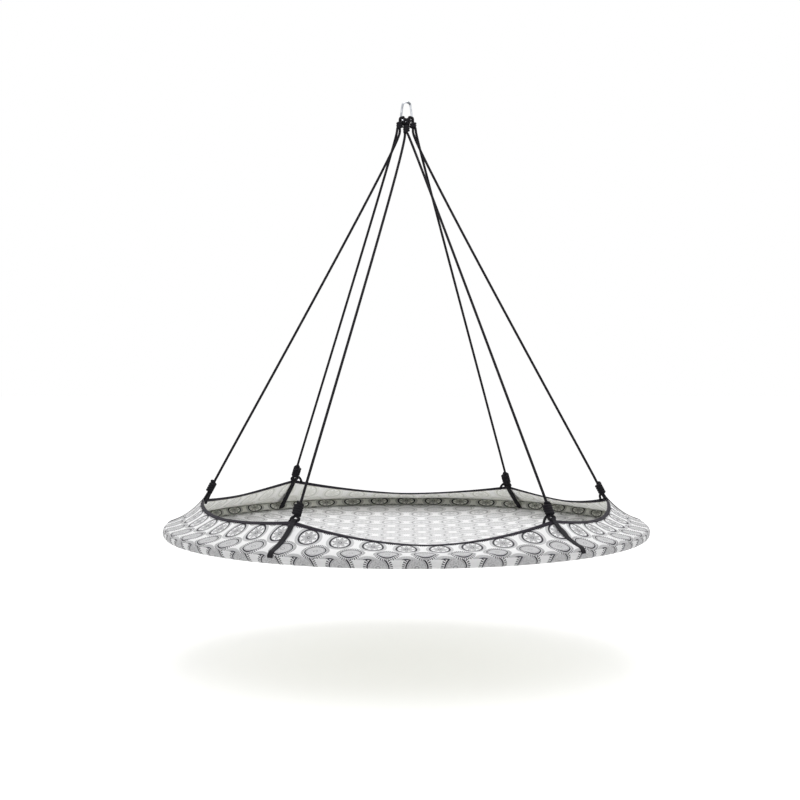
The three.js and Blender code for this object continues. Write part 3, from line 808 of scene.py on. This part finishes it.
# Ropes: each is one length, from one knot's tail over its hitch to the other's
def make_rope(name, back, front, turns):
    back_leg, front_leg = rope_leg(corner_named[back]), rope_leg(corner_named[front])
    path = ease_bends(smooth_path(back_leg[::-1] + turns + front_leg, rope_step), tightest_bend)
    whole = sum((b - a).length for a, b in zip(path, path[1:]))

    def size_at(along):
        return 1 + tip_swell * max(0, 1 - min(along, whole - along) / tip_length)

    piece = make_object(name, *tube_parts(path, rope_braid / 2, rope_sides, size_at))
    wear_material(piece, "rope")
    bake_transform(piece)
    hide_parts(f"rope_{back}", f"rope_{front}", name.replace("rope_over_", "hitch_"))
    print(f"{name} is {whole:.3f} m long")


left_hitch = hitch(
    middle_angle=-side_hitch, spread=0, whole_turns=0, centre=-side_centre, foot=side_foot,
    whipping=3)
middle_hitch = hitch(
    middle_angle=0, spread=middle_spread, whole_turns=2, centre=0, foot=middle_foot, whipping=3)
right_hitch = hitch(
    middle_angle=side_hitch, spread=0, whole_turns=0, centre=side_centre, foot=side_foot,
    whipping=2)
make_rope("rope_over_left", "back_left", "left", left_hitch)
make_rope("rope_over_middle", "front_left", "front_right", middle_hitch)
make_rope("rope_over_right", "back_right", "right", right_hitch)


# Straps: the steps over the eye, down each leg, under the ring, out through the slit and on
eye_steps = 14
leg_steps = 16
under_steps = 14
slit_steps = 10
outside_steps = 6

# A strap's outline, as shares of its half width and half thickness
strap_outline = [(-1, 0), (-0.97, -1), (-0.5, -1), (0, -1), (0.5, -1), (0.97, -1),
                 (1, 0), (0.97, 1), (0.5, 1), (0, 1), (-0.5, 1), (-0.97, 1)]


def row_lengths(row):
    """How far each point of a row lies from its first, along the row."""
    lengths = [0.0]
    for a, b in zip(row, row[1:]):
        lengths.append(lengths[-1] + (b - a).length)
    return lengths


def strap_arc(centre, start, end, steps, start_size, end_size):
    """Places on an arc whose radius goes softly from one size to the other."""
    points = []
    for k in range(steps + 1):
        share = k / steps
        turn = math.radians(start + (end - start) * share)
        size = start_size + (end_size - start_size) * share * share * (3 - 2 * share)
        points.append(centre + Vector((math.cos(turn), math.sin(turn))) * size)
    return points


def strap_row(corner):
    """The middle line of a strap in its corner's upright plane: radius and height."""
    seat = seat_of(corner)
    eye = rope / 2 + eye_room + strap_thickness / 2
    round_ring = tube_radius + gap + strap_thickness / 2
    outside_ring = cad_wall_round + cad_cloth / 2 + gap + strap_thickness / 2
    middle = Vector((ring_radius, 0))
    away = (seat - middle).length
    to_seat = math.degrees(math.atan2(seat.y, seat.x - ring_radius))
    outside = to_seat - math.degrees(math.acos((outside_ring - eye) / away))
    inside = to_seat + math.degrees(math.acos((round_ring - eye) / away))
    touch, foot, bend = wall_run(edge_at(corner["angle"]))

    over = strap_arc(seat, outside, inside, eye_steps, eye, eye)
    under = strap_arc(middle, inside, slit_below, under_steps, round_ring, round_ring)
    down = [over[-1].lerp(under[0], k / leg_steps) for k in range(1, leg_steps)]
    through = strap_arc(middle, slit_below, slit_above, slit_steps, round_ring, outside_ring)[1:]
    last = strap_arc(middle, slit_above, touch + 360, outside_steps, outside_ring, outside_ring)[1:]
    bend = bend + last[-1] - foot
    rise = [bend_between(last[-1], bend, over[0], k / leg_steps) for k in range(1, leg_steps)]
    return over + down + under + through + last + rise


def make_strap(corner):
    row = strap_row(corner)
    turn = math.radians(corner["angle"])
    out = Vector((math.cos(turn), math.sin(turn), 0))
    along = Vector((-math.sin(turn), math.cos(turn), 0))
    up = Vector((0, 0, 1))
    seat = seat_of(corner)
    sections = []
    for i, point in enumerate(row):
        before, after = row[i - 1], row[(i + 1) % len(row)]
        way = (after - before).normalized()
        near = max(0.0, 1 - (point - seat).length / eye_pinch_reach)
        half_width = strap_width / 2 * (1 - eye_pinch * near)
        section = []
        for across, off in strap_outline:
            radius = point.x + way.y * off * strap_thickness / 2
            height = point.y - way.x * off * strap_thickness / 2 - ring_drop
            section.append(out * radius + up * height + along * across * half_width)
        sections.append(section)

    reach = row_lengths(row)
    whole = reach[-1] + (row[0] - row[-1]).length
    eye_middle = reach[eye_steps // 2]

    def from_eye(i):
        away = abs((reach[i] if i < len(row) else whole) - eye_middle)
        return min(away, whole - away)

    across_of = [across * strap_width / 2 for across, _ in strap_outline]
    piece = swept_loop(
        f"webbing_{corner['name']}", sections, from_eye, lambda j: across_of[j % len(across_of)])
    wear_material(piece, "webbing")
    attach(piece, "pod")
    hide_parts(f"strap_{corner['name']}")


for each_corner in corners:
    make_strap(each_corner)


# Fabric: the steps round the ring, up the wall, round under the ring and along the sleeve
ring_steps = 720
wall_rise_steps = 18
wall_arc_steps = 24
sleeve_steps = 16
turns_round = [360 * i / ring_steps for i in range(ring_steps)]

# The seam: at which step below the wall's rise it is sewn, and how deep it pulls in
seam_step = 6
seam_dent = 0.7 * mm

# Waves of the cloth: how fine they are, how fast they change up the wall or which layer of
# the noise they are from, and how high they get
wall_folds = [(9, 2.0, 2.2 * mm), (34, 1.2, 0.9 * mm)]
wall_puckers = (60, 0.25, 0.45 * mm)
floor_creases = [(5, 1.7, 2.0 * mm), (17, 4.1, 0.6 * mm)]

# Where the lengths of the cloth are measured, between a corner and a dip
measured_angle = 45


def ripple(x, y, fineness, layer, height):
    """A wave of the cloth from fixed noise, up to about height to each side."""
    return noise.noise(Vector((x * fineness, y * fineness, layer))) * height


def wall_row(angle):
    """The middle of the wall's cloth: from its edge down, round under the ring to the seam."""
    edge = edge_at(angle)
    _, _, through = bay_at(angle)
    calm = 1 - through ** 2
    touch, foot, bend = wall_run(edge)
    slope = (edge - foot).normalized()
    square = Vector((slope.y, -slope.x))
    x, y = math.cos(math.radians(angle)), math.sin(math.radians(angle))
    row = []
    for k in range(wall_rise_steps):
        share = 1 - k / wall_rise_steps
        between_ends = math.sin(math.pi * share)
        hollow = wall_hollow * calm * between_ends
        fold = sum(ripple(x, y, fine, share * change, high) for fine, change, high in wall_folds)
        run = bend_between(foot, bend, edge, share)
        row.append(run - square * (hollow - fold * calm * between_ends))
    end = wall_end_angle - 360
    fine, change, high = wall_puckers
    for k in range(wall_arc_steps + 1):
        turn = touch + (end - touch) * k / wall_arc_steps
        near_end = math.sin(math.pi * k / wall_arc_steps)
        pucker = ripple(x, y, fine, k * change, high) * near_end * min(1, calm * 4)
        dent = seam_dent if k == seam_step else 0
        row.append(on_tube(wall_round + pucker - dent, turn))
    return row


def sleeve_row(_):
    """The middle of the sleeve's cloth: over the ring from the seam to the wall, all round alike."""
    start = seam_angle + 2
    whole = sleeve_end_angle - start
    return [on_tube(sleeve_round, start + whole * k / sleeve_steps) for k in range(sleeve_steps + 1)]


def cloth_section(row):
    """Both faces of a cloth whose middle is a row of radius and height."""
    faces = []
    for side in (1, -1):
        face = []
        for j, point in enumerate(row):
            way = (row[min(j + 1, len(row) - 1)] - row[max(j - 1, 0)]).normalized()
            face.append(point + Vector((-way.y, way.x)) * side * cloth / 2)
        faces.append(face)
    return faces[0] + faces[1][::-1]


def cut_lengths(row_at):
    return row_lengths(row_at(measured_angle))


def ring_cloth(name, row_at, print_start, front, seam_row=None, print_squeeze=1.0):
    """A closed sheet swept round the ring, with one material on each face. Below seam_row the
    print starts afresh, as on a strip that is sewn on, and print_squeeze flattens its rows."""
    sections = [
        [around(angle, point.x, point.y) for point in cloth_section(row_at(angle))]
        for angle in turns_round]
    count = len(sections[0]) // 2
    rows = [print_start + length * print_squeeze for length in cut_lengths(row_at)]

    def u_of(i):
        return i * print_columns / ring_steps

    def v_of(j):
        j %= 2 * count
        return (rows[j] if j < count else rows[2 * count - 1 - j]) / print_height

    def shift_of(j):
        sewn_on = seam_row is not None and seam_row <= j < 2 * count - 1 - seam_row
        return seam_print_shift if sewn_on else (0, 0)

    piece = swept_loop(name, sections, u_of, v_of, lambda j: 0 if j < count else 1, shift_of)
    wear_material(piece, front, "reverse")
    return piece


def make_wall():
    seam_row = wall_rise_steps + seam_step
    wall = ring_cloth("pod_wall", wall_row, wall_print_start, "print", seam_row)
    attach(wall, "pod")
    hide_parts("wall_band")
    high = cut_lengths(wall_row)[-1]


def make_sleeve():
    sleeve = ring_cloth(
        "hoop_sleeve", sleeve_row, sleeve_print_start, "sleeve", print_squeeze=sleeve_squeeze)
    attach(sleeve, "pod")
    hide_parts("ring_sleeve")
    high = cut_lengths(sleeve_row)[-1]


# Floor: the rings and the steps round them that its mesh has
floor_rings = 34
floor_steps = 240


def floor_height(x, y, edge):
    """How high the sagging floor lies at x and y, with edge the radius and height of its rim."""
    share = min(1.0, math.hypot(x, y) / edge.x)
    crease = sum(ripple(x, y, fine, layer, high) for fine, layer, high in floor_creases)
    return edge.y - floor_sag * (1 - share ** 3) + crease * (1 - share ** 6)


def make_floor():
    edge = on_tube(sleeve_round + cloth, floor_edge_angle)
    vertices, faces, uvs, slots = [], [], [], []
    index = {}
    for side in (1, -1):
        for i in range(floor_rings + 1):
            radius = edge.x * (i / floor_rings)
            for k in range(floor_steps):
                if i == 0 and k:
                    index[side, i, k] = index[side, 0, 0]
                    continue
                turn = 2 * math.pi * k / floor_steps
                x, y = radius * math.cos(turn), radius * math.sin(turn)
                index[side, i, k] = len(vertices)
                height = floor_height(x, y, edge) + side * cloth / 2
                vertices.append(Vector((x, y, height - ring_drop)))

    def add(numbers, slot):
        faces.append(numbers)
        uvs.append([(vertices[n].x / print_width, vertices[n].y / print_height) for n in numbers])
        slots.append(slot)

    for k in range(floor_steps):
        after = (k + 1) % floor_steps
        for side in (1, -1):
            for i in range(floor_rings):
                numbers = [index[side, i, k], index[side, i + 1, k],
                           index[side, i + 1, after], index[side, i, after]]
                if i == 0:
                    numbers.pop()
                if side < 0:
                    numbers.reverse()
                add(tuple(numbers), 0 if side > 0 else 1)
        rim = ((1, k), (-1, k), (-1, after), (1, after))
        add(tuple(index[side, floor_rings, step] for side, step in rim), 1)
    floor = make_object("pod_floor", vertices, faces, uvs, slots)
    wear_material(floor, "floor", "reverse")
    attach(floor, "pod")
    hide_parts("floor_panel")


# Binding: the tape that is folded over the wall's edge
def down_the_side(place):
    """How far down the tape's side a place lies, with a sign for the side."""
    across, along = place
    return math.copysign(max(0.0, -along), across or 1)


def make_binding():
    inner = cloth / 2 + 0.1 * mm
    outer = inner + binding_thickness
    top = gap + binding_thickness
    drop = binding_height
    side = [(outer, -drop - binding_lip), (outer + binding_lip, -drop / 2), (outer, -1 * mm),
            (0.7 * outer, 0.75 * top)]
    other_side = [(-across, along) for across, along in reversed(side)]
    fold = [(-inner, -drop), (-inner, 0), (inner, 0), (inner, -drop)]
    outline = [*fold, *side, (0, top), *other_side]
    sections = []
    for angle in turns_round:
        row = wall_row(angle)
        edge = row[0]
        up = (edge - row[2]).normalized()
        out = Vector((up.y, -up.x))
        sections.append([
            around(angle, *(edge + out * across + up * along)) for across, along in outline])
    sides = [down_the_side(place) for place in outline]
    piece = swept_loop(
        "edge_tape", sections, lambda i: i * 2 * math.pi * corner_radius / ring_steps,
        lambda j: sides[j % len(sides)])
    wear_material(piece, "binding")
    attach(piece, "pod")
    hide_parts("edge_binding")


make_wall()
make_sleeve()
make_floor()
make_binding()


# Carried CAD pieces
steel_nodes = ["snap_hook_body", "snap_hook_gate", "gate_spring", "gate_rivet"]
tube_nodes = [f"ring_tube_{number}" for number in range(1, 7)]
for node_names, worn in ((steel_nodes, "steel"), (tube_nodes, "tube")):
    for node_name in node_names:
        node_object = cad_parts[node_name]
        node_object.data.materials.clear()
        wear_material(node_object, worn)


# Studio: where the camera looks at floor and sky they are white, and the part is lit by less
def seen_directly(tree):
    """1 for the camera's rays, and for those that go on from a shiny or clear surface."""
    path = tree.nodes.new("ShaderNodeLightPath")
    seen = path.outputs["Is Camera Ray"]
    for ray in ("Is Glossy Ray", "Is Transmission Ray"):
        either = tree.nodes.new("ShaderNodeMath")
        either.operation = "MAXIMUM"
        tree.links.new(seen, either.inputs[0])
        tree.links.new(path.outputs[ray], either.inputs[1])
        seen = either.outputs[0]
    return seen


def make_studio_floor():
    corners_of_floor = [(-1, -1), (1, -1), (1, 1), (-1, 1)]
    vertices = [(x * floor_reach, y * floor_reach, -floor_drop) for x, y in corners_of_floor]
    floor = make_object("studio_floor", vertices, [(0, 1, 2, 3)])
    graph = Graph("studio_white", 0.9)
    graph.shader.inputs["Specular IOR Level"].default_value = 0.0
    glow = graph.node("ShaderNodeEmission")
    glow.inputs["Color"].default_value = (1, 1, 1, 1)
    seen = seen_directly(graph.tree)
    graph.plug(glow.inputs["Strength"], graph.maths("MULTIPLY", seen, floor_glow))
    both = graph.node("ShaderNodeAddShader")
    graph.tree.links.new(graph.shader.outputs[0], both.inputs[0])
    graph.tree.links.new(glow.outputs[0], both.inputs[1])
    output = graph.tree.nodes["Material Output"]
    graph.tree.links.new(both.outputs[0], output.inputs["Surface"])
    floor.data.materials.append(graph.finish((floor_white, floor_white, floor_white)))


def make_sky():
    world = bpy.data.worlds.new("studio")
    world.use_nodes = True
    bpy.context.scene.world = world
    tree = world.node_tree
    choose = tree.nodes.new("ShaderNodeMixShader")
    tree.links.new(seen_directly(tree), choose.inputs[0])
    for socket, strength in ((1, sky_level), (2, 1.0)):
        background = tree.nodes.new("ShaderNodeBackground")
        background.inputs["Color"].default_value = (1, 1, 1, 1)
        background.inputs["Strength"].default_value = strength
        tree.links.new(background.outputs[0], choose.inputs[socket])
    tree.links.new(choose.outputs[0], tree.nodes["World Output"].inputs["Surface"])


def make_lamp(name, place):
    data = bpy.data.lights.new(name, "AREA")
    data.energy = lamp_power
    data.size = lamp_size
    lamp = bpy.data.objects.new(name, data)
    lamp.location = place
    aim = Vector(lamp_aim) - Vector(place)
    lamp.rotation_euler = aim.to_track_quat("-Z", "Y").to_euler()
    bpy.context.scene.collection.objects.link(lamp)


make_studio_floor()
make_sky()
for lamp_name, lamp_place in lamp_places.items():
    make_lamp(lamp_name, lamp_place)
bpy.context.scene.view_settings.view_transform = "Standard"
